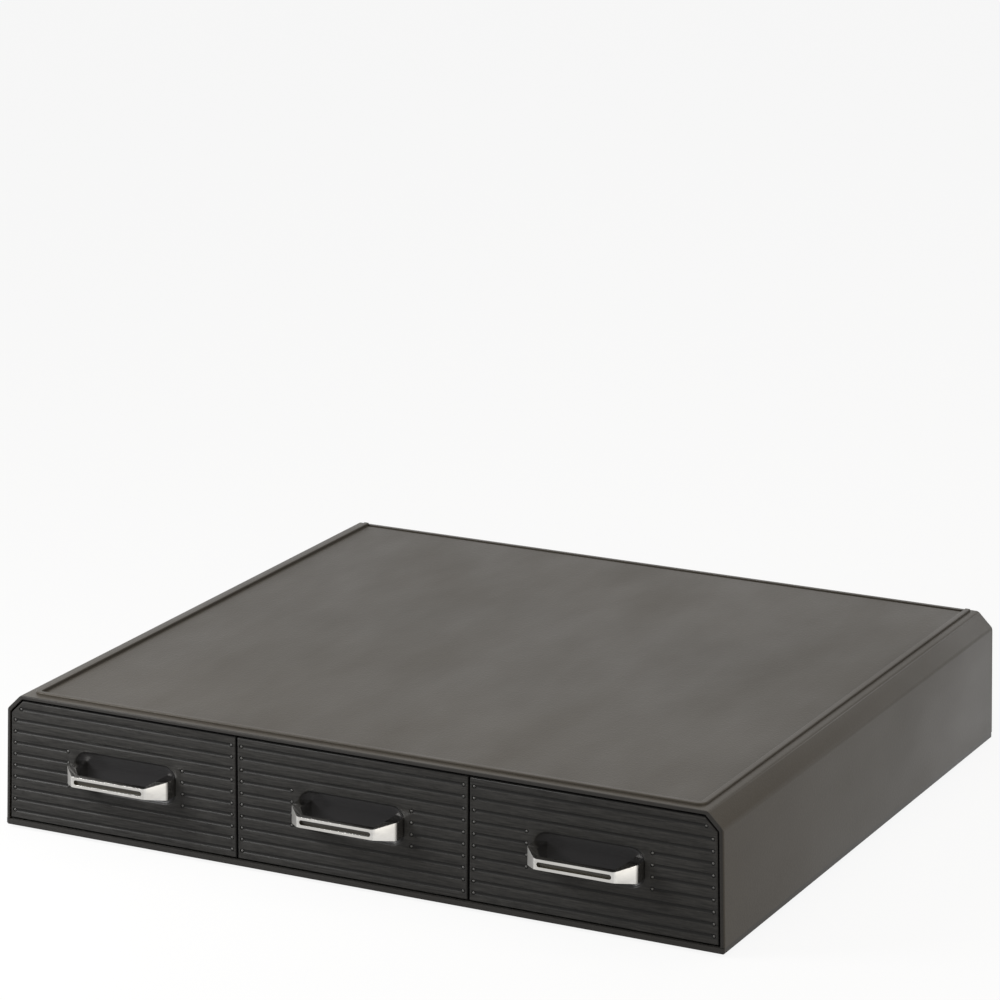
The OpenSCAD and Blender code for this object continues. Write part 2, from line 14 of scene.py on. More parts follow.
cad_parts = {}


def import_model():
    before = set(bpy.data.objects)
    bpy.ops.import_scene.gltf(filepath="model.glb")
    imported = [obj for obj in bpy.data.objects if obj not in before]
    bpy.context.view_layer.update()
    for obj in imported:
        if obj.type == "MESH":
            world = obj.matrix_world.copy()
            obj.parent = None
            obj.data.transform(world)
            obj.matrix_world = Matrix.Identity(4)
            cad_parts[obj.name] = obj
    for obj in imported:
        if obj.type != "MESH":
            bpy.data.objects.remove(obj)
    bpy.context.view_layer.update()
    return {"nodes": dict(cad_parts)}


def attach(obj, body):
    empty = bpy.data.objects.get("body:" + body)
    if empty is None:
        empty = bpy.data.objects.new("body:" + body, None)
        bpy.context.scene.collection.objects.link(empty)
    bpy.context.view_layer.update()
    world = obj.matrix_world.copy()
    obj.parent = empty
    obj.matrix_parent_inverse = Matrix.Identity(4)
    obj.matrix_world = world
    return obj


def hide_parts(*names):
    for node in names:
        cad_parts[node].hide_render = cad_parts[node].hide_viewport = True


LOG = logging.getLogger("pod_drawer")
Colour = tuple[float, float, float]
Point = tuple[float, float, float]
Piece = bpy.types.Object
Material = bpy.types.Material
Edge = bmesh.types.BMEdge
Nodes = dict[str, Piece]

MM = 0.001
NEAR = 0.01 * MM  # places closer than this count as the same
WHITE: Colour = (1.0, 1.0, 1.0)
PLASTIC_IOR = 1.47


# ---- sizes


@dataclass(frozen=True)
class Plan:
    """Shared sizes of the unit in millimetres, as its construction gives them.

    Depths run from the front face to the rear, and heights start at the surface under the feet.
    """

    front_y: float = -147.75
    body_w: float = 340.0
    body_d: float = 310.0
    foot_h: float = 1.2
    top_z: float = 61.0
    panel_drop: float = 0.3
    draft_deg: float = 1.9
    bevel: float = 6.8
    bay_pitch: float = 109.4
    front_gap: float = 0.8
    rim_side: float = 1.7
    front_z0: float = 4.8
    front_z1: float = 58.5
    front_d: float = 7.0
    face_t: float = 2.6
    skirt_t: float = 1.8

    @property
    def face(self) -> float:
        """Place of the front face along Y, in metres."""
        return self.front_y * MM

    @property
    def rear(self) -> float:
        """Place of the rear face along Y, in metres."""
        return (self.front_y + self.body_d) * MM

    @property
    def mid_z(self) -> float:
        """Height of the handles and of the middle groove."""
        return (self.front_z0 + self.front_z1) / 2

    @property
    def front_half(self) -> float:
        """Half the width of a drawer front between two bays."""
        return (self.bay_pitch - self.front_gap) / 2

    @property
    def front_inset(self) -> float:
        """Distance of an outer front's edge from the casing's outer side."""
        return self.rim_side + self.front_gap

    def half_w(self, z: float) -> float:
        """Half the casing's width at a height in millimetres."""
        return self.body_w / 2 - (z - self.foot_h) * math.tan(math.radians(self.draft_deg))

    def bevel_sum(self, inset: float) -> float:
        """Sum of x and z along the long top bevel, for an outline inset from the casing's."""
        return self.half_w(self.top_z) - self.bevel + self.top_z - inset * math.sqrt(2)

    def point(self, x: float, y: float, z: float) -> Vector:
        """A point of the plan in metres, in the shared frame."""
        return Vector((x, y + self.front_y, z)) * MM


PLAN = Plan()


class Bay(Enum):
    """The three bays, with their place across the front."""

    LEFT = -1
    CENTRE = 0
    RIGHT = 1

    @property
    def label(self) -> str:
        """Lower-case name for pieces and bodies."""
        return self.name.lower()

    @property
    def body(self) -> str:
        """Name of the moving body."""
        return f"drawer_{self.label}"

    @property
    def x(self) -> float:
        """Middle of the bay in millimetres."""
        return self.value * PLAN.bay_pitch


# ---- shader writing


@dataclass(frozen=True)
class Wire:
    """One output of a node, so that maths on it reads as an expression."""

    graph: "Graph"
    socket: bpy.types.NodeSocket

    def maths(self, operation: str, first: Any, second: Any) -> "Wire":
        """Result of one Math node on two numbers or wires."""
        return self.graph.node("ShaderNodeMath", {"operation": operation}, {0: first, 1: second})

    def __abs__(self) -> "Wire":
        """Value without its sign."""
        return self.maths("ABSOLUTE", self, 0.0)

    def __add__(self, other: Any) -> "Wire":
        """Sum."""
        return self.maths("ADD", self, other)

    def __radd__(self, other: Any) -> "Wire":
        """Sum with the number first."""
        return self.maths("ADD", other, self)

    def __sub__(self, other: Any) -> "Wire":
        """Difference."""
        return self.maths("SUBTRACT", self, other)

    def __rsub__(self, other: Any) -> "Wire":
        """Difference with the number first."""
        return self.maths("SUBTRACT", other, self)

    def __mul__(self, other: Any) -> "Wire":
        """Product."""
        return self.maths("MULTIPLY", self, other)

    def __rmul__(self, other: Any) -> "Wire":
        """Product with the number first."""
        return self.maths("MULTIPLY", other, self)


class Graph:
    """A node tree under construction, with one method for every kind of node."""

    def __init__(self, tree: bpy.types.NodeTree, output: str) -> None:
        """Empties a node tree and gives it an output.

        Args:
            tree: Tree of a material or a world.
            output: Type of the output node.
        """
        self.tree = tree
        self.tree.nodes.clear()
        self.out = self.tree.nodes.new(output)

    def feed(self, socket: bpy.types.NodeSocket, value: Any) -> None:
        """Sets a socket to a number or colour, or links a wire to it.

        Args:
            socket: The input.
            value: Number, colour or wire.
        """
        if isinstance(value, Wire):
            self.tree.links.new(value.socket, socket)
        elif isinstance(value, tuple) and socket.type == "RGBA":
            socket.default_value = (*value, 1.0)
        else:
            socket.default_value = value

    def node(
        self,
        kind: str,
        settings: dict[str, Any] | None = None,
        inputs: dict[Any, Any] | None = None,
        out: Any = 0,
    ) -> Wire:
        """Adds a node of any kind.

        Args:
            kind: The node's type.
            settings: Properties, which are set first.
            inputs: Values or wires by socket name or number.
            out: Name or number of the output.

        Returns:
            The chosen output.
        """
        made = self.tree.nodes.new(kind)
        for key, value in (settings or {}).items():
            setattr(made, key, value)
        for key, value in (inputs or {}).items():
            self.feed(made.inputs[key], value)
        return Wire(self, made.outputs[out])

    def seen(self) -> Wire:
        """1 for rays from the camera or a polished surface, and 0 for light that spreads."""
        path = self.node("ShaderNodeLightPath", out="Is Camera Ray")
        return path.maths("MAXIMUM", path, Wire(self, path.socket.node.outputs["Is Glossy Ray"]))

    def show(self, surface: Wire) -> None:
        """Links a finished shader to the output."""
        self.feed(self.out.inputs["Surface"], surface)


class Shader(Graph):
    """A material under construction."""

    def __init__(self, name: str) -> None:
        """Starts a material with a surface shader.

        Args:
            name: Name of the material.
        """
        self.material = bpy.data.materials.new(name)
        self.material.use_nodes = True
        super().__init__(self.material.node_tree, "ShaderNodeOutputMaterial")
        self.lit = self.node("ShaderNodeBsdfPrincipled")
        self.surface = self.lit.socket.node
        self.show(self.lit)
        self.place = self.node("ShaderNodeTexCoord", out="Object")

    def noise(self, scale: Point, detail: float = 3.0, rough: float = 0.5) -> Wire:
        """Noise whose grain is set apart along each axis.

        Args:
            scale: Repeats per metre along X, Y and Z.
            detail: Finer layers.
            rough: Weight of the finer layers.

        Returns:
            Values round 0.5.
        """
        place = self.node("ShaderNodeMapping", inputs={"Vector": self.place, "Scale": scale})
        grain = {"Vector": place, "Scale": 1.0, "Detail": detail, "Roughness": rough}
        return self.node("ShaderNodeTexNoise", inputs=grain, out="Fac")

    def remap(
        self, value: Wire, low: float, high: float, to_low: float = 0.0, to_high: float = 1.0
    ) -> Wire:
        """Clamped linear change of range, from low..high to to_low..to_high."""
        ends = {"Value": value, 1: low, 2: high, 3: to_low, 4: to_high}
        return self.node("ShaderNodeMapRange", {"clamp": True}, ends)

    def blend(self, mask: Any, first: Any, second: Any, mode: str = "MIX") -> Wire:
        """Mixes two colours or wires, where the mask is the share of the second."""
        settings = {"data_type": "RGBA", "blend_type": mode}
        return self.node("ShaderNodeMix", settings, {0: mask, 6: first, 7: second}, 2)

    def axis(self, name: str) -> Wire:
        """One of the object coordinates, in metres."""
        return self.node("ShaderNodeSeparateXYZ", inputs={0: self.place}, out=name)

    def relief(self, height: Wire, distance: float, strength: float) -> None:
        """Turns a height, which is so many metres at 1, into the surface's normal."""
        inputs = {"Height": height, "Distance": distance, "Strength": strength}
        self.set(Normal=self.node("ShaderNodeBump", inputs=inputs))

    def set(self, **values: Any) -> Material:
        """Sets the surface's sockets.

        Args:
            **values: Values or wires by socket name, with an underscore for each blank.

        Returns:
            The material.
        """
        for key, value in values.items():
            self.feed(self.surface.inputs[key.replace("_", " ")], value)
        return self.material


# ---- finishes


@dataclass(frozen=True)
class PebbledPlastic:
    """Moulded plastic with a fine pebble grain, full on the platform and faint round it.

    Warm colours the paler clouds and sheen the reflections, and front faces get painted shade.
    Pebble, fine, cloud and smear are marks per metre, and depth is the pebbles' height in metres.
    Rough is the roughness of the platform, and smooth that of the bands round it.
    """

    name: str
    tint: Colour
    warm: Colour
    rim: Colour
    pebble: float = 1150.0
    fine: float = 2600.0
    cloud: float = 7.0
    smear: Point = (30.0, 11.0, 24.0)
    depth: float = 0.00009
    rough: float = 0.4
    smooth: float = 0.34
    shine: float = 0.19
    sheen: Colour = (1.0, 0.95, 0.87)

    def make(self) -> Material:
        """Builds the material.

        Returns:
            The material.
        """
        s = Shader(self.name)
        grid = {"Vector": s.place, "Scale": self.pebble, "Smoothness": 0.6}
        cells = s.node("ShaderNodeTexVoronoi", {"feature": "SMOOTH_F1"}, grid, "Distance")
        fine = s.noise((self.fine,) * 3, detail=2.0)
        cloud = s.noise((self.cloud,) * 3, detail=4.0, rough=0.6)
        smear = s.noise(self.smear, rough=0.55)
        platform_z = (PLAN.top_z - PLAN.panel_drop) * MM
        field = s.remap(abs(s.axis("Z") - platform_z), 0.1 * MM, 0.2 * MM, 1.0, 0.0)
        body = s.blend(s.remap(cloud, 0.35, 0.68), self.tint, self.warm)
        # painted shade: faces in the front plane take the darker front colour
        behind = s.remap(s.axis("Y") - PLAN.face, 0.2 * MM, 0.8 * MM)
        speck = s.remap(cells, 0.15, 0.75, 0.93, 1.06)
        grey = s.node("ShaderNodeCombineColor", inputs={0: speck, 1: speck, 2: speck})
        s.relief((cells * 0.75 + fine * 0.25) * (field * 0.6 + 0.4), self.depth, 0.85)
        wear = s.remap(smear, 0.3, 0.7, -0.05, 0.05)
        return s.set(
            Base_Color=s.blend(1.0, s.blend(behind, self.rim, body), grey, "MULTIPLY"),
            Roughness=wear + (field * (self.rough - self.smooth) + self.smooth),
            Specular_IOR_Level=self.shine,
            Specular_Tint=self.sheen,
            IOR=PLASTIC_IOR,
        )


@dataclass(frozen=True)
class GrainedPlastic:
    """Satin plastic of the drawer fronts, with a fine grain along X.

    Pale colours the paler grain and deep the recess; groove colour is painted shade in hollows.
    Streak, broad and mottle are marks per metre along each axis, and depth is in metres.
    Rough is the roughness of the face, and smooth that of the recess.
    """

    name: str
    tint: Colour
    pale: Colour
    deep: Colour
    groove: Colour
    streak: Point = (95.0, 95.0, 1600.0)
    broad: Point = (9.0, 9.0, 190.0)
    mottle: Point = (420.0, 420.0, 700.0)
    depth: float = 0.00008
    rough: float = 0.38
    smooth: float = 0.25
    shine: float = 0.12

    def make(self) -> Material:
        """Builds the material.

        Returns:
            The material.
        """
        s = Shader(self.name)
        streak = s.noise(self.streak, rough=0.6)
        broad = s.noise(self.broad, rough=0.55)
        mottle = s.noise(self.mottle, detail=2.0)
        grain = streak * 0.7 + broad * 0.15 + mottle * 0.15
        face = s.blend(s.remap(grain, 0.38, 0.62), self.tint, self.pale)
        behind = s.axis("Y") - PLAN.face
        # painted shade: faces sunk past 0.1 mm behind the face darken to the groove colour
        groove_shaded = s.blend(s.remap(behind, 0.1 * MM, 0.3 * MM), face, self.groove)
        sunk = s.remap(behind, 0.48 * MM, 0.95 * MM)
        s.relief((streak * 0.7 + mottle * 0.3) * (1.0 - sunk * 0.9), self.depth, 0.75)
        rough = s.remap(broad, 0.3, 0.7, self.rough - 0.06, self.rough + 0.08)
        return s.set(
            Base_Color=s.blend(sunk, groove_shaded, self.deep),
            Roughness=rough - sunk * (self.rough - self.smooth),
            Specular_IOR_Level=self.shine,
            IOR=PLASTIC_IOR,
        )


@dataclass(frozen=True)
class SmoothPlastic:
    """Plain moulded plastic with faint flow marks and handling marks.

    Marks is how far they change the roughness. Flow and fine are marks per metre, and depth is
    the height of the fine grain in metres.
    """

    name: str
    tint: Colour
    rough: float = 0.4
    marks: float = 0.05
    depth: float = 0.00002
    flow: Point = (16.0, 34.0, 30.0)
    fine: float = 1500.0

    def make(self) -> Material:
        """Builds the material.

        Returns:
            The material.
        """
        s = Shader(self.name)
        flow = s.noise(self.flow, rough=0.55)
        dark = tuple(c * 0.82 for c in self.tint)
        pale = tuple(min(1.0, c * 1.18 + 0.002) for c in self.tint)
        s.relief(s.noise((self.fine,) * 3, detail=2.0), self.depth, 0.6)
        return s.set(
            Base_Color=s.blend(s.remap(flow, 0.35, 0.65), dark, pale),
            Roughness=s.remap(flow, 0.3, 0.7, self.rough - self.marks, self.rough + self.marks),
            IOR=PLASTIC_IOR,
        )


@dataclass(frozen=True)
class PolishedMetal:
    """Plated or plain metal, with a little haze from handling.

    Haze is what it adds to the roughness, and dulling the share of the colour left in it. Wipe
    and fine are marks per metre, and depth is the height of the fine grain in metres.
    """

    name: str
    tint: Colour
    rough: float = 0.08
    haze: float = 0.05
    depth: float = 0.000004
    wipe: Point = (60.0, 140.0, 260.0)
    fine: float = 900.0
    dulling: float = 0.8

    def make(self) -> Material:
        """Builds the material.

        Returns:
            The material.
        """
        s = Shader(self.name)
        wipe = s.noise(self.wipe, detail=4.0, rough=0.6)
        dull = tuple(c * self.dulling for c in self.tint)
        s.relief(s.noise((self.fine,) * 3, detail=2.0), self.depth, 0.4)
        return s.set(
            Base_Color=s.blend(s.remap(wipe, 0.4, 0.75), self.tint, dull),
            Roughness=s.remap(wipe, 0.35, 0.7, self.rough, self.rough + self.haze),
            Metallic=1.0,
        )


class Palette:
    """Every finish of the unit, made once."""

    def __init__(self) -> None:
        """Makes the materials."""
        # painted shade: darker colour for the front faces of casing and base
        rim = (0.0195, 0.019, 0.0184)
        self.casing = PebbledPlastic(
            "casing_plastic", (0.0345, 0.0303, 0.0245), (0.042, 0.0372, 0.0305), rim
        ).make()
        self.base = PebbledPlastic(
            "base_plastic", (0.028, 0.027, 0.025), (0.033, 0.0315, 0.029), rim
        ).make()
        self.front = GrainedPlastic(
            "front_plastic",
            tint=(0.0138, 0.0134, 0.0128),
            pale=(0.0295, 0.0287, 0.0271),
            deep=(0.0165, 0.016, 0.0165),
            # painted shade in the grooves and hollows
            groove=(0.011, 0.0108, 0.0104),
        ).make()
        # paler dots that paint the glints at the groove ends
        self.dots = SmoothPlastic("dot_plastic", (0.052, 0.051, 0.049), 0.4, 0.04).make()
        self.tray = SmoothPlastic(
            "tray_plastic", (0.031, 0.0302, 0.0292), 0.44, 0.04, 0.00003
        ).make()
        self.chrome = PolishedMetal("chrome_plate", (0.575, 0.563, 0.539)).make()
        # rougher chrome with a paler colour for the arms' outer faces: painted highlight
        self.satin = PolishedMetal("chrome_satin", (0.67, 0.66, 0.635), 0.4, 0.05).make()
        # dark brown slot colour: painted dark reflection
        self.slot = SmoothPlastic("slot_paint", (0.024, 0.02, 0.011), 0.22, 0.04).make()
        self.steel = PolishedMetal("screw_steel", (0.52, 0.52, 0.53), 0.26, 0.12).make()
        self.rubber = SmoothPlastic("foot_rubber", (0.02, 0.02, 0.02), 0.7, 0.08, 0.00006).make()


# ---- modelling bench


class Bench:
    """Modelling steps that the pieces share."""

    smooth_deg = 32.0

    @staticmethod
    def only(piece: Piece) -> None:
        """Selects one object alone and makes it active.

        Args:
            piece: The object.
        """
        if bpy.context.mode != "OBJECT":
            bpy.ops.object.mode_set(mode="OBJECT")
        bpy.ops.object.select_all(action="DESELECT")
        piece.select_set(True)
        bpy.context.view_layer.objects.active = piece

    @staticmethod
    def settle(name: str) -> Piece:
        """Names the newest primitive and moves its place into its mesh.

        Args:
            name: Name of the object and its mesh.

        Returns:
            The object.
        """
        piece = bpy.context.active_object
        piece.name = name
        piece.data.name = name
        Bench.only(piece)
        bpy.ops.object.transform_apply(location=True, rotation=True, scale=True)
        return piece

    @staticmethod
    def block(name: str, low: Vector, high: Vector) -> Piece:
        """Adds a box.

        Args:
            name: Name of the object.
            low: Its lowest corner, in metres.
            high: Its highest corner.

        Returns:
            The box.
        """
        bpy.ops.object.select_all(action="DESELECT")
        bpy.ops.mesh.primitive_cube_add(size=1.0, location=(low + high) / 2, scale=high - low)
        return Bench.settle(name)

    @staticmethod
    def rod(name: str, start: Vector, end: Vector, radius: float, sides: int) -> Piece:
        """Adds a closed cylinder between two points.

        Args:
            name: Name of the object.
            start: Middle of one end, in metres.
            end: Middle of the other end.
            radius: Radius in metres.
            sides: Sides of the cylinder.

        Returns:
            The cylinder.
        """
        run = end - start
        bpy.ops.object.select_all(action="DESELECT")
        bpy.ops.mesh.primitive_cylinder_add(
            vertices=sides,
            radius=radius,
            depth=run.length,
            location=(start + end) / 2,
            rotation=run.to_track_quat("Z", "Y").to_euler(),
        )
        return Bench.settle(name)

    @staticmethod
    def copy(piece: Piece, name: str, move: Vector) -> Piece:
        """Copies a piece with a mesh of its own, some way off.

        Args:
            piece: The piece to copy.
            name: Name of the copy and its mesh.
            move: Distance of the copy, in metres.

        Returns:
            The copy.
        """
        made = bpy.data.objects.new(name, piece.data.copy())
        made.data.name = name
        made.data.transform(Matrix.Translation(move))
        bpy.context.scene.collection.objects.link(made)
        return made

    @staticmethod
    def edit(piece: Piece) -> bmesh.types.BMesh:
        """Opens a piece for editing with nothing selected.

        Args:
            piece: The piece.

        Returns:
            Its mesh in edit mode.
        """
        Bench.only(piece)
        bpy.ops.object.mode_set(mode="EDIT")
        bpy.ops.mesh.select_all(action="DESELECT")
        return bmesh.from_edit_mesh(piece.data)

    @staticmethod
    def done(piece: Piece) -> None:
        """Leaves edit mode."""
        bmesh.update_edit_mesh(piece.data)
        bpy.ops.object.mode_set(mode="OBJECT")

    @staticmethod
    def pick(piece: Piece, kind: str, test: Callable[[Any], bool]) -> int:
        """Selects only the elements that pass a test.

        Args:
            piece: Piece that is open for editing.
            kind: "VERT", "EDGE" or "FACE".
            test: Takes a vertex, edge or face.

        Returns:
            How many were selected.
        """
        bpy.ops.mesh.select_mode(type=kind)
        bpy.ops.mesh.select_all(action="DESELECT")
        mesh = bmesh.from_edit_mesh(piece.data)
        pools = {"VERT": mesh.verts, "EDGE": mesh.edges, "FACE": mesh.faces}
        chosen = [element for element in pools[kind] if test(element)]
        for element in chosen:
            element.select_set(True)
        mesh.select_flush_mode()
        bmesh.update_edit_mesh(piece.data)
        return len(chosen)

    @staticmethod
    def in_plane(element: Any, axis: int, level: float, slack: float = NEAR) -> bool:
        """Whether every corner of an edge or face lies at one level of an axis, in metres."""
        return all(abs(v.co[axis] - level) < slack for v in element.verts)

    @staticmethod
    def runs_back(edge: Edge) -> bool:
        """Whether an edge runs from front to rear."""
        return abs(edge.verts[0].co.y - edge.verts[1].co.y) > 0.5 * MM

    @staticmethod
    def shift(piece: Piece, spot: Vector, target: Vector) -> None:
        """Moves the vertices at one place of a piece in edit mode to another place, in metres."""
        Bench.pick(piece, "VERT", lambda v: (v.co - spot).length < NEAR)
        bpy.ops.transform.translate(value=target - spot)

    @staticmethod
    def extrude(move: Vector) -> None:
        """Extrudes the selected faces by a distance in millimetres."""
        bpy.ops.mesh.extrude_region_move(TRANSFORM_OT_translate={"value": move * MM})

    @staticmethod
    def slice_off(piece: Piece, spot: Vector, outward: Vector) -> None:
        """Cuts away what lies outside a plane and closes the cut.

        Args:
            piece: The piece.
            spot: A point of the plane, in metres.
            outward: Direction of what goes.
        """
        Bench.edit(piece)
        bpy.ops.mesh.select_all(action="SELECT")
        bpy.ops.mesh.bisect(plane_co=spot, plane_no=outward, use_fill=True, clear_outer=True)
        Bench.done(piece)

    @staticmethod
    def apply(piece: Piece, kind: str, **settings: Any) -> None:
        """Adds a modifier and applies it.

        Args:
            piece: The piece.
            kind: Type of the modifier.
            **settings: Its properties.
        """
        Bench.only(piece)
        made = piece.modifiers.new(kind.title(), kind)
        for key, value in settings.items():
            setattr(made, key, value)
        bpy.ops.object.modifier_apply(modifier=made.name)

    @staticmethod
    def combine(piece: Piece, tool: Piece, action: str = "DIFFERENCE") -> None:
        """Cuts a shape from a piece, or adds it to the piece, and removes the shape."""
        Bench.apply(piece, "BOOLEAN", operation=action, solver="EXACT", object=tool)
        bpy.data.objects.remove(tool)

    @staticmethod
    def joined(pieces: Sequence[Piece], name: str) -> Piece:
        """Joins pieces that stand clear of each other into one.

        Args:
            pieces: The pieces.
            name: Name of the joined piece.

        Returns:
            The joined piece.
        """
        Bench.only(pieces[0])
        for piece in pieces:
            piece.select_set(True)
        bpy.ops.object.join()
        made = bpy.context.active_object
        made.name = name
        made.data.name = name
        return made

    @staticmethod
    def spread(piece: Piece, spots: Sequence[Vector], name: str) -> Piece:
        """Joins a copy of a piece at each spot into one, and removes the piece.

        Args:
            piece: The piece, modelled at the origin.
            spots: Places of the copies, in metres.
            name: Name of the joined copies.

        Returns:
            The joined copies.
        """
        copies = [Bench.copy(piece, piece.name, spot) for spot in spots]
        bpy.data.objects.remove(piece)
        return Bench.joined(copies, name)

    @staticmethod
    def round_picked(piece: Piece, test: Callable[[Any], bool], width: float, steps: int) -> None:
        """Bevels the edges that pass a test.

        Args:
            piece: The piece.
            test: Takes an edge.
            width: Width of the bevel in millimetres.
            steps: Faces across the bevel.
        """
        Bench.edit(piece)
        if Bench.pick(piece, "EDGE", test):
            bpy.ops.mesh.bevel(offset=width * MM, segments=steps, clamp_overlap=True)
        Bench.done(piece)

    @staticmethod
    def round_by_width(piece: Piece, width: Callable[[Any], float], widest: float) -> None:
        """Rounds edges by different amounts at once.

        Args:
            piece: The piece.
            width: Takes an edge and gives the width of its rounding in millimetres, or 0.
            widest: The largest such width.
        """
        mesh = Bench.edit(piece)
        layers = mesh.edges.layers.float
        weight = layers.get("bevel_weight_edge") or layers.new("bevel_weight_edge")
        for edge in mesh.edges:
            edge[weight] = width(edge) / widest
        Bench.done(piece)
        Bench.apply(piece, "BEVEL", width=widest * MM, segments=4, limit_method="WEIGHT")

    @staticmethod
    def clean(piece: Piece) -> None:
        """Merges doubled points, dissolves flat seams and points every face outwards.

        Args:
            piece: The piece.
        """
        Bench.edit(piece)
        bpy.ops.mesh.select_all(action="SELECT")
        bpy.ops.mesh.remove_doubles(threshold=0.002 * MM)
        bpy.ops.mesh.dissolve_limited(angle_limit=math.radians(0.4))
        bpy.ops.mesh.normals_make_consistent(inside=False)
        Bench.done(piece)

    @staticmethod
    def merged_copy(node: Piece, name: str) -> Piece:
        """Copies a construction node with its points merged, for finer shaping.

        Args:
            node: The node.
            name: Name of the new piece.

        Returns:
            The copy.
        """
        piece = Bench.copy(node, name, Vector())
        Bench.only(piece)
        if piece.data.has_custom_normals:
            bpy.ops.mesh.customdata_custom_splitnormals_clear()
        piece.data.materials.clear()
        Bench.clean(piece)
        return piece

    @staticmethod
    def finish(
        piece: Piece, body: str, slot: str, finishes: Sequence[Material], nodes: Sequence[str] = ()
    ) -> None:
        """Smooths a piece, gives it its finishes and seats it on its body.

        Args:
            piece: The finished shape.
            body: Name of the body that it rides on.
            slot: Not used.
            finishes: Materials in the order of the piece's slots.
            nodes: Construction nodes that the piece stands for.
        """
        Bench.only(piece)
        bpy.ops.object.shade_smooth_by_angle(angle=math.radians(Bench.smooth_deg))
        for finish in finishes:
            piece.data.materials.append(finish)
        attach(piece, body)
        if nodes:
            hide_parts(*nodes)
        LOG.info("%s: %d faces on %s", piece.name, len(piece.data.polygons), body)

    @staticmethod
    def dress(node: Piece, finish: Material) -> None:
        """Gives a construction node that stays its finish.

        Args:
            node: The node.
            finish: Its material.
        """
        for holder in node.material_slots:
            holder.material = finish
        LOG.info("%s: dressed in %s", node.name, finish.name)


# ---- pieces


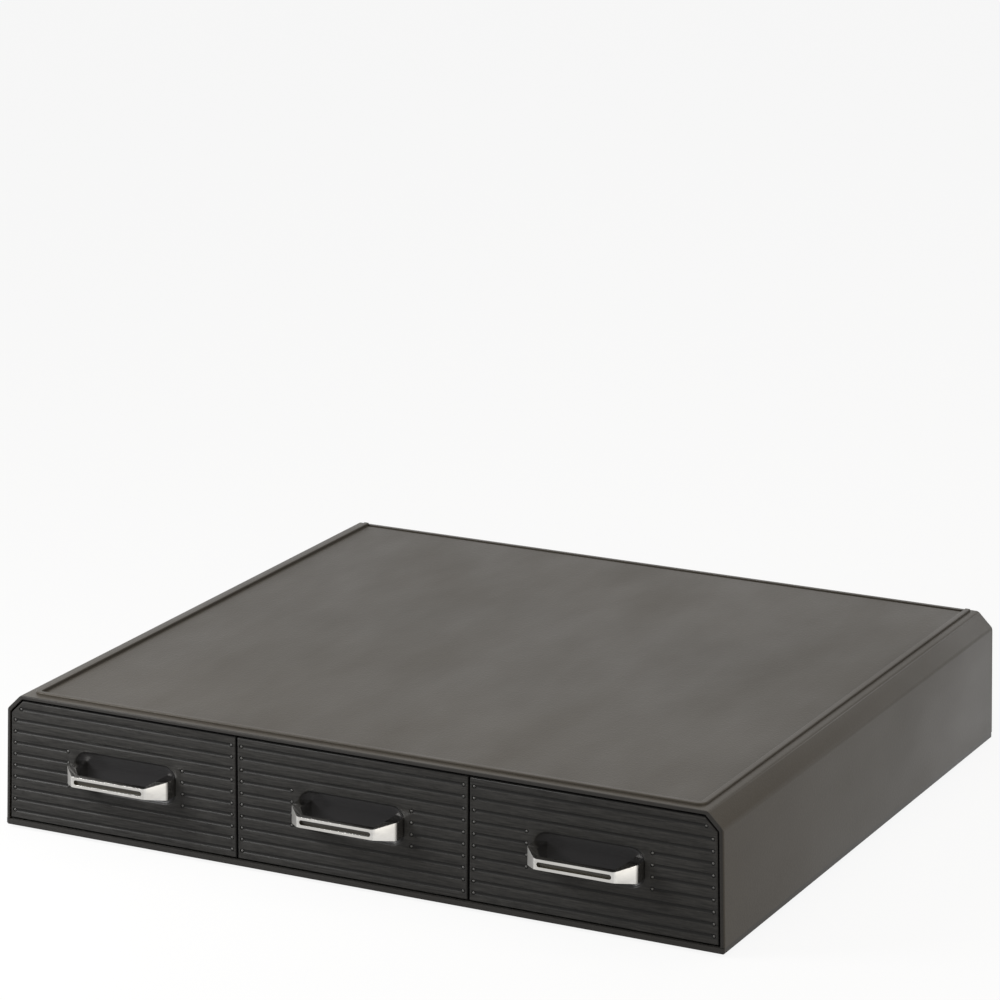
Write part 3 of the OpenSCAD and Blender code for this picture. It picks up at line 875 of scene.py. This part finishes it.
@dataclass
class DrawerFront:
    """One grooved drawer front with its recess and finger scoop, in millimetres."""

    bay: Bay
    edge_round: float = 0.6
    line_n: int = 10
    line_pitch: float = 5.15
    line_r: float = 1.05
    line_depth: float = 0.45
    line_margin: float = 2.0
    line_sides: int = 32
    lip_round: float = 0.12
    lip_deg: float = 40.0
    dimple_r: float = 0.95
    dimple_share: float = 0.8
    dimple_sides: int = 16
    bead_r: float = 0.56
    bead_y: float = 0.3
    bead_flat: float = 0.8
    cut_n: int = 4
    field_half: float = 28.2
    recess_half: float = 25.3
    recess_rise: float = 9.2
    recess_depth: float = 0.8
    recess_r: float = 6.5
    scoop_depth: float = 1.3
    slope: float = 6.3
    slope_parts: tuple[float, ...] = (0.03, 0.07, 0.11, 0.16, 0.22, 0.3, 0.42, 0.58, 0.78, 1.0)
    depth_parts: tuple[float, ...] = (0.03, 0.11, 0.24, 0.38, 0.51, 0.63, 0.76, 0.88, 0.96, 1.0)
    wall: float = 1.4

    def outer_reach(self, z: float) -> float:
        """Where a groove stops on the casing's side.

        Args:
            z: Height of the groove.

        Returns:
            Distance from the middle of the bay.
        """
        if self.bay is Bay.CENTRE:
            return PLAN.front_half - self.line_margin
        side = PLAN.half_w(z) - PLAN.front_inset
        slope = PLAN.bevel_sum(PLAN.front_inset) - z - self.dimple_r
        return min(side, slope) - self.line_margin - PLAN.bay_pitch

    def spans(self) -> list[tuple[float, float, float]]:
        """Lays out the grooves, of which the middle ones stop at the recess.

        Returns:
            Start, end and height of each groove.
        """
        inner = -PLAN.front_half + self.line_margin
        made = []
        for i in range(self.line_n):
            step = i - (self.line_n - 1) / 2
            z = PLAN.mid_z + step * self.line_pitch
            outer = self.outer_reach(z)
            if abs(step) < self.cut_n / 2:
                made += [(inner, -self.field_half, z), (self.field_half, outer, z)]
            else:
                made.append((inner, outer, z))
        flip = -1 if self.bay is Bay.LEFT else 1
        return [(min(flip * a, flip * b), max(flip * a, flip * b), z) for a, b, z in made]

    def at(self, x: float, y: float, z: float) -> Vector:
        """A point from the middle of the bay, the front face and the ground, in metres."""
        return PLAN.point(self.bay.x + x, y, z)

    def ends(self, y: float) -> list[Vector]:
        """Both ends of every groove, at one depth."""
        return [self.at(x, y, z) for start, end, z in self.spans() for x in (start, end)]

    def plate(self) -> Piece:
        """Blocks out the front and slopes its outer side to follow the casing.

        Returns:
            The blocked-out front.
        """
        half = PLAN.front_half
        side = self.bay.value
        foot_x = PLAN.half_w(PLAN.front_z0) - PLAN.front_inset
        far = foot_x - PLAN.bay_pitch
        low, high = sorted((-side * half, side * far)) if side else (-half, half)
        piece = Bench.block(
            f"drawer_front_{self.bay.label}",
            self.at(low, 0, PLAN.front_z0),
            self.at(high, PLAN.front_d, PLAN.front_z1),
        )
        if side:
            lean = math.radians(PLAN.draft_deg)
            foot = PLAN.point(side * foot_x, 0, PLAN.front_z0)
            Bench.slice_off(piece, foot, Vector((side * math.cos(lean), 0, math.sin(lean))))
            edge_x = PLAN.bevel_sum(PLAN.front_inset) - PLAN.front_z1
            edge = PLAN.point(side * edge_x, 0, PLAN.front_z1)
            Bench.slice_off(piece, edge, Vector((side, 0, 1)).normalized())
        return piece

    def hollow(self, piece: Piece) -> None:
        """Softens the front's edge, sinks its back to leave a skirt and backs the recess.

        Args:
            piece: The blocked-out front.
        """
        back = (PLAN.front_y + PLAN.front_d) * MM
        Bench.round_picked(piece, lambda e: Bench.in_plane(e, 1, PLAN.face), self.edge_round, 3)
        Bench.edit(piece)
        Bench.pick(piece, "FACE", lambda f: f.normal.y > 0.9 and Bench.in_plane(f, 1, back))
        bpy.ops.mesh.inset(thickness=PLAN.skirt_t * MM)
        Bench.extrude(Vector((0, PLAN.face_t - PLAN.front_d, 0)))
        Bench.done(piece)
        pad = self.recess_half + self.wall
        rise = self.recess_rise + self.wall
        deep = self.recess_depth + self.scoop_depth + self.wall
        low = self.at(-pad, PLAN.face_t - 0.1, PLAN.mid_z - rise)
        backing = Bench.block("backing", low, self.at(pad, deep, PLAN.mid_z + rise))
        Bench.combine(piece, backing, "UNION")

    def grooves(self, piece: Piece) -> None:
        """Cuts the grooves, with a dimple at each end.

        Args:
            piece: The front.
        """
        axis = self.line_depth - self.line_r
        lines = []
        for start, end, z in self.spans():
            ends = self.at(start, axis, z), self.at(end, axis, z)
            lines.append(Bench.rod("line", *ends, self.line_r * MM, self.line_sides))
        ends = Vector((0, -MM, 0)), Vector((0, self.line_depth * self.dimple_share * MM, 0))
        dimple = Bench.rod("dimple", *ends, self.dimple_r * MM, self.dimple_sides)
        Bench.combine(piece, Bench.joined(lines, "lines"))
        Bench.combine(piece, Bench.spread(dimple, self.ends(0), "dimples"))

    def scoop(self, piece: Piece) -> None:
        """Sinks the round-cornered recess as one dish with a soft rim.

        Args:
            piece: The front.
        """
        low = self.at(-self.recess_half, -1, PLAN.mid_z - self.recess_rise)
        high = self.at(self.recess_half, 0, PLAN.mid_z + self.recess_rise)
        dish = Bench.block("dish", low, high)
        Bench.round_picked(dish, Bench.runs_back, self.recess_r, 8)
        deepest = self.recess_depth + self.scoop_depth
        inset, depth = 0.0, 0.0
        for part, share in zip(self.slope_parts, self.depth_parts):
            next_inset, next_depth = self.slope * part, deepest * share
            Bench.edit(dish)
            Bench.pick(dish, "FACE", lambda f: f.normal.y > 0.99 and len(f.verts) > 8)
            bpy.ops.mesh.inset(thickness=(next_inset - inset) * MM, depth=(next_depth - depth) * MM)
            Bench.done(dish)
            inset, depth = next_inset, next_depth
        Bench.combine(piece, dish)

    def lips(self, piece: Piece) -> None:
        """Breaks the sharp lips of the grooves and the recess.

        Args:
            piece: The front.
        """

        def lip(edge: Edge) -> bool:
            """Whether an edge is a sharp edge in the front plane."""
            flat = Bench.in_plane(edge, 1, PLAN.face, 0.004 * MM)
            return flat and edge.calc_face_angle(0.0) > math.radians(self.lip_deg)

        Bench.round_picked(piece, lip, self.lip_round, 2)

    def beads(self, palette: Palette) -> None:
        """Adds a small dot in each dimple, whose paler plastic paints the glint at the groove's
        end.

        Args:
            palette: The unit's finishes.
        """
        bpy.ops.object.select_all(action="DESELECT")
        bpy.ops.mesh.primitive_uv_sphere_add(
            segments=14, ring_count=10, radius=self.bead_r * MM, scale=(1, self.bead_flat, 1)
        )
        bead = Bench.settle("dot")
        dots = Bench.spread(bead, self.ends(self.bead_y), f"groove_dots_{self.bay.label}")
        Bench.finish(dots, self.bay.body, "front", [palette.dots])

    def build(self, palette: Palette) -> None:
        """Builds and dresses the front.

        Args:
            palette: The unit's finishes.
        """
        piece = self.plate()
        self.hollow(piece)
        self.grooves(piece)
        self.scoop(piece)
        self.lips(piece)
        label = self.bay.label
        Bench.finish(piece, self.bay.body, "front", [palette.front], [f"front_{label}"])
        self.beads(palette)


@dataclass
class StrapHandle:
    """Polished handle: feet, splayed arms that flare to them, and a slotted bar, in millimetres.

    It is shaped once, for the middle bay, and every drawer gets a copy.
    """

    reach: float = 14.5
    bar_half: float = 17.8
    bar_t: float = 3.2
    bar_h: float = 4.6
    inner_half: float = 16.61
    foot_half: float = 24.8
    foot_in: float = 19.8
    foot_h: float = 8.1
    foot_y: float = 2.0
    knee_out: float = -6.5
    knee_in: float = -7.66
    bend: float = 1.25
    edge_round: float = 0.6
    edge_deg: float = 35.0
    slot_half: float = 16.7
    slot_h: float = 2.1
    slot_depth: float = 1.4
    satin_side: float = 0.45
    satin_front: float = 0.25

    def at(self, x: float, y: float, z: float) -> Vector:
        """A point from the bay's middle, the front face and the handle's middle, in metres."""
        return PLAN.point(x, y, PLAN.mid_z + z)

    def arm(self, piece: Piece) -> None:
        """Draws the right arm and foot out of the bar's end.

        Args:
            piece: The right half of the bar.
        """
        stub = 4.0
        bar_y, inner_y = -self.reach, self.bar_t - self.reach
        thin, tall = self.bar_h / 2, self.foot_h / 2
        Bench.edit(piece)
        for z in (-thin, thin):
            Bench.shift(
                piece, self.at(self.bar_half, inner_y, z), self.at(self.inner_half, inner_y, z)
            )
        edge = self.at(self.inner_half - 0.1, 0, 0).x
        Bench.pick(piece, "FACE", lambda f: all(v.co.x > edge for v in f.verts))
        Bench.extrude(Vector((stub, stub, 0)))
        for z in (-1, 1):
            Bench.shift(
                piece,
                self.at(self.bar_half + stub, bar_y + stub, z * thin),
                self.at(self.foot_half, self.knee_out, z * tall),
            )
            Bench.shift(
                piece,
                self.at(self.inner_half + stub, inner_y + stub, z * thin),
                self.at(self.foot_in, self.knee_in, z * tall),
            )
        edge = self.at(self.foot_in - 0.1, 0, 0).x
        Bench.pick(piece, "FACE", lambda f: all(v.co.x > edge for v in f.verts))
        Bench.extrude(Vector((0, self.foot_y - self.knee_out, 0)))
        slip = self.knee_in + self.foot_y - self.knee_out
        for z in (-tall, tall):
            Bench.shift(
                piece, self.at(self.foot_in, slip, z), self.at(self.foot_in, self.foot_y, z)
            )
        Bench.done(piece)

    def mirror(self, piece: Piece) -> None:
        """Mirrors the half about the middle of the bay.

        Args:
            piece: The right half of the handle.
        """
        Bench.edit(piece)
        Bench.pick(piece, "FACE", lambda f: Bench.in_plane(f, 0, 0.0))
        bpy.ops.mesh.delete(type="FACE")
        Bench.done(piece)
        Bench.apply(piece, "MIRROR", merge_threshold=NEAR)
        Bench.clean(piece)

    def bends(self, piece: Piece) -> None:
        """Rounds the outer bends of both arms.

        Args:
            piece: The handle.
        """
        corners = ((self.bar_half, -self.reach), (self.foot_half, self.knee_out))
        spots = [self.at(side * x, y, 0) for side in (-1, 1) for x, y in corners]

        def upright(edge: Edge) -> bool:
            """Whether an edge stands upright at one of the outer bends."""
            mid = (edge.verts[0].co + edge.verts[1].co) / 2
            return any((mid.xy - spot.xy).length < 2 * NEAR for spot in spots)

        Bench.round_picked(piece, upright, self.bend, 6)

    def slot(self, piece: Piece) -> None:
        """Cuts the round-ended slot in the bar's face.

        Args:
            piece: The handle.
        """
        x, z = self.slot_half, self.slot_h / 2
        low, high = self.at(-x, -self.reach - 2, -z), self.at(x, self.slot_depth - self.reach, z)
        tool = Bench.block("slot", low, high)
        Bench.round_picked(tool, Bench.runs_back, self.slot_h / 2 - 0.01, 8)
        Bench.combine(piece, tool)

    def mark(self, piece: Piece) -> None:
        """Marks the slot's floor and the arms' outer faces for painted dark reflection and sheen.

        Args:
            piece: The handle.
        """
        pad = 0.1
        x, z = self.slot_half + pad, self.slot_h / 2 + pad
        low = self.at(-x, 0.35 - self.reach, -z)
        high = self.at(x, self.slot_depth + pad - self.reach, z)
        # the slot's floor takes the dark colour that paints its reflection
        for face in piece.data.polygons:
            if all(low[i] <= face.center[i] <= high[i] for i in range(3)):
                face.material_index = 1
            # the arms' outer faces take the rougher, paler metal that paints their highlight
            elif abs(face.normal.x) > self.satin_side and face.normal.y < -self.satin_front:
                face.material_index = 2

    def shape(self) -> Piece:
        """Shapes the handle.

        Returns:
            The handle, without its finishes.
        """
        piece = Bench.block(
            "strap_handle",
            self.at(0, -self.reach, -self.bar_h / 2),
            self.at(self.bar_half, self.bar_t - self.reach, self.bar_h / 2),
        )
        self.arm(piece)
        self.mirror(piece)
        self.bends(piece)
        self.slot(piece)
        sharp = {"limit_method": "ANGLE", "angle_limit": math.radians(self.edge_deg)}
        Bench.apply(piece, "BEVEL", width=self.edge_round * MM, segments=4, **sharp)
        self.mark(piece)
        return piece


@dataclass
class Casing:
    """Top, sides and base, with every outer edge eased, in millimetres."""

    long_round: float = 1.2
    corner_round: float = 1.3
    face_round: float = 0.35
    base_round: float = 0.4

    @property
    def knee_z(self) -> float:
        """Height at which the side meets the long top bevel."""
        lean = math.tan(math.radians(PLAN.draft_deg))
        return (PLAN.bevel_sum(0) - PLAN.body_w / 2 - PLAN.foot_h * lean) / (1 - lean)

    def top(self, palette: Palette, nodes: Nodes) -> None:
        """Eases the casing's outer edges.

        Args:
            palette: The unit's finishes.
            nodes: The frame's nodes.
        """
        piece = Bench.merged_copy(nodes["top_shell"], "casing_top")
        slack = 0.05
        knee = self.knee_z
        lines = ((PLAN.half_w(PLAN.top_z) - PLAN.bevel, PLAN.top_z), (PLAN.half_w(knee), knee))

        def on_line(co: Vector) -> bool:
            """Whether a point lies on one of the long bevel's edges."""
            x, z = abs(co.x) / MM, co.z / MM
            return any(abs(x - a) < slack and abs(z - b) < slack for a, b in lines)

        def outer(co: Vector) -> bool:
            """Whether a point lies on the casing's outer outline.

            Args:
                co: The point.

            Returns:
                True where it does.
            """
            x, z = abs(co.x) / MM, co.z / MM
            side = abs(x - PLAN.half_w(z)) < slack and z < knee + slack
            slope = abs(x + z - PLAN.bevel_sum(0)) < slack and z > knee - slack
            return side or slope or abs(z - PLAN.top_z) < 0.02

        def ease(edge: Edge) -> float:
            """Width of the rounding that an edge takes.

            Args:
                edge: The edge.

            Returns:
                The width in millimetres.
            """
            a, b = (v.co for v in edge.verts)
            if on_line(a) and on_line(b) and abs(a.y - b.y) > 1 * MM:
                return self.long_round
            if not (outer(a) and outer(b)) or abs(a.y - b.y) > NEAR:
                return 0.0
            upright = abs(a.x - b.x) < abs(a.z - b.z) * 0.3
            if abs(a.y - PLAN.face) < NEAR:
                return self.corner_round if upright else self.face_round
            low = min(a.z, b.z) < (PLAN.top_z - 0.1) * MM
            return self.face_round if abs(a.y - PLAN.rear) < NEAR and low else 0.0

        Bench.round_by_width(piece, ease, self.corner_round)
        Bench.finish(piece, "casing", "shell", [palette.casing], ["top_shell"])

    def base(self, palette: Palette, nodes: Nodes) -> None:
        """Eases the base panel's front and rear edges.

        Args:
            palette: The unit's finishes.
            nodes: The frame's nodes.
        """
        piece = Bench.merged_copy(nodes["base_panel"], "casing_base")

        def ease(edge: Edge) -> float:
            """Width of the rounding that an edge takes.

            Args:
                edge: The edge.

            Returns:
                The width in millimetres.
            """
            if not any(Bench.in_plane(edge, 1, y) for y in (PLAN.face, PLAN.rear)):
                return 0.0
            a, b = (v.co for v in edge.verts)
            upright = abs(a.x - b.x) < abs(a.z - b.z) * 1.2
            return self.corner_round if upright else self.base_round

        Bench.round_by_width(piece, ease, self.corner_round)
        Bench.finish(piece, "casing", "base", [palette.base], ["base_panel"])

    def build(self, palette: Palette, nodes: Nodes) -> None:
        """Builds the casing's pieces and dresses the nodes that stay.

        Args:
            palette: The unit's finishes.
            nodes: The frame's nodes.
        """
        self.top(palette, nodes)
        self.base(palette, nodes)
        feet = [f"foot_{end}_{side}" for end in ("front", "rear") for side in ("left", "right")]
        plain = (
            (palette.base, ("back_panel", "bay_divider_left", "bay_divider_right")),
            (palette.rubber, feet),
            (palette.steel, ("base_screws", "back_screws")),
        )
        for finish, names in plain:
            for name in names:
                Bench.dress(nodes[name], finish)


@dataclass
class Drawer:
    """One drawer: front, a copy of the handle, and the tray and screws that stay."""

    bay: Bay
    handle: Piece

    def build(self, palette: Palette, nodes: Nodes) -> None:
        """Builds and dresses the drawer.

        Args:
            palette: The unit's finishes.
            nodes: The frame's nodes.
        """
        label = self.bay.label
        DrawerFront(self.bay).build(palette)
        handle = Bench.copy(self.handle, f"strap_handle_{label}", Vector((self.bay.x * MM, 0, 0)))
        finishes = [palette.chrome, palette.slot, palette.satin]
        Bench.finish(handle, self.bay.body, "chrome", finishes, [f"handle_{label}"])
        Bench.dress(nodes[f"tray_{label}"], palette.tray)
        Bench.dress(nodes[f"handle_screws_{label}"], palette.steel)


# ---- studio


@dataclass(frozen=True)
class SoftLamp:
    """A rectangular lamp at a spot, which looks at its aim, in metres.

    Mirrored says whether polished surfaces mirror it.
    """

    name: str
    spot: Point
    aim: Point
    size: tuple[float, float]
    watts: float
    tint: Colour = WHITE
    mirrored: bool = True

    def make(self) -> None:
        """Adds the lamp."""
        data = bpy.data.lights.new(self.name, "AREA")
        data.shape = "RECTANGLE"
        data.size, data.size_y = self.size
        data.energy = self.watts
        data.color = self.tint
        lamp = bpy.data.objects.new(self.name, data)
        lamp.location = self.spot
        look = Vector(self.aim) - Vector(self.spot)
        lamp.rotation_euler = look.to_track_quat("-Z", "Y").to_euler()
        lamp.visible_glossy = self.mirrored
        bpy.context.scene.collection.objects.link(lamp)


OVERHEAD = SoftLamp(
    "overhead", (0.15, -0.05, 1.4), (0.05, 0.0, 0.0), (1.8, 0.9), 13.0, (1.0, 0.93, 0.83), False
)
RIGHT_SIDE = SoftLamp(
    "right_side", (0.95, -0.42, 0.25), (0.17, -0.14, 0.03), (0.5, 0.4), 3.6, (1.0, 0.94, 0.85)
)
FRONT_LEFT = SoftLamp("front_left", (-0.42, -0.46, 0.37), (-0.13, -0.15, 0.03), (0.3, 0.25), 4.6)


@dataclass(frozen=True)
class Studio:
    """Camera, lamps, world and floor, in metres, with the lens and the sensor in millimetres.

    Right, up and back are the camera's own directions, and ambient is the world's strength.
    Floor_tone holds the floor's darkest and palest grey, and glow is how white it is where seen.
    """

    eye: Point = (0.8211, -1.6791, 0.6502)
    right: Point = (0.89643, 0.44313, 0.00732)
    up: Point = (-0.12453, 0.23601, 0.96374)
    back: Point = (0.42533, -0.86484, 0.26675)
    lens: float = 159.0
    sensor: float = 36.0
    ambient: float = 0.3
    floor_size: float = 14.0
    floor_drop: float = 0.0002
    floor_tone: tuple[float, float] = (0.59, 0.61)
    glow: float = 0.9
    lamps: tuple[SoftLamp, ...] = (OVERHEAD, RIGHT_SIDE, FRONT_LEFT)

    def camera(self) -> None:
        """Sets the camera."""
        data = bpy.data.cameras.new("camera")
        data.lens = self.lens
        data.sensor_width = self.sensor
        data.clip_end = 20.0
        camera = bpy.data.objects.new("camera", data)
        turn = Matrix((self.right, self.up, self.back)).transposed().to_4x4()
        camera.matrix_world = Matrix.Translation(self.eye) @ turn
        bpy.context.scene.collection.objects.link(camera)
        bpy.context.scene.camera = camera

    def world(self) -> None:
        """Sets a pale world that is white where it is seen directly or mirrored."""
        world = bpy.data.worlds.new("studio")
        world.use_nodes = True
        bpy.context.scene.world = world
        g = Graph(world.node_tree, "ShaderNodeOutputWorld")
        soft, white = (
            g.node("ShaderNodeBackground", inputs={"Color": WHITE, "Strength": strength})
            for strength in (self.ambient, 1.0)
        )
        g.show(g.node("ShaderNodeMixShader", inputs={0: g.seen(), 1: soft, 2: white}))

    def floor(self) -> None:
        """Adds the pale floor, which keeps the unit's shadow."""
        bpy.ops.object.select_all(action="DESELECT")
        bpy.ops.mesh.primitive_plane_add(size=self.floor_size, location=(0, 0, -self.floor_drop))
        plane = Bench.settle("studio_floor")
        s = Shader("floor_white")
        dark, pale = ((tone,) * 3 for tone in self.floor_tone)
        s.set(Base_Color=s.blend(s.noise((3.0, 3.0, 3.0), 2.0), dark, pale), Roughness=0.9)
        white = s.node("ShaderNodeEmission", inputs={"Color": WHITE, "Strength": 1.0})
        mix = {0: s.seen() * self.glow, 1: s.lit, 2: white}
        s.show(s.node("ShaderNodeMixShader", inputs=mix))
        plane.data.materials.append(s.material)

    def build(self) -> None:
        """Sets up everything but the camera."""
        bpy.context.scene.view_settings.view_transform = "Standard"
        self.world()
        self.floor()
        for lamp in self.lamps:
            lamp.make()


def main() -> None:
    """Builds the studio and every piece in order."""
    logging.basicConfig(level=logging.INFO, format="%(name)s: %(message)s")
    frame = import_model()
    nodes = frame["nodes"]
    studio = Studio()
    studio.camera()
    palette = Palette()
    Casing().build(palette, nodes)
    handle = StrapHandle().shape()
    for bay in Bay:
        Drawer(bay, handle).build(palette, nodes)
    bpy.data.objects.remove(handle)
    studio.build()


if __name__ == "__main__":
    main()
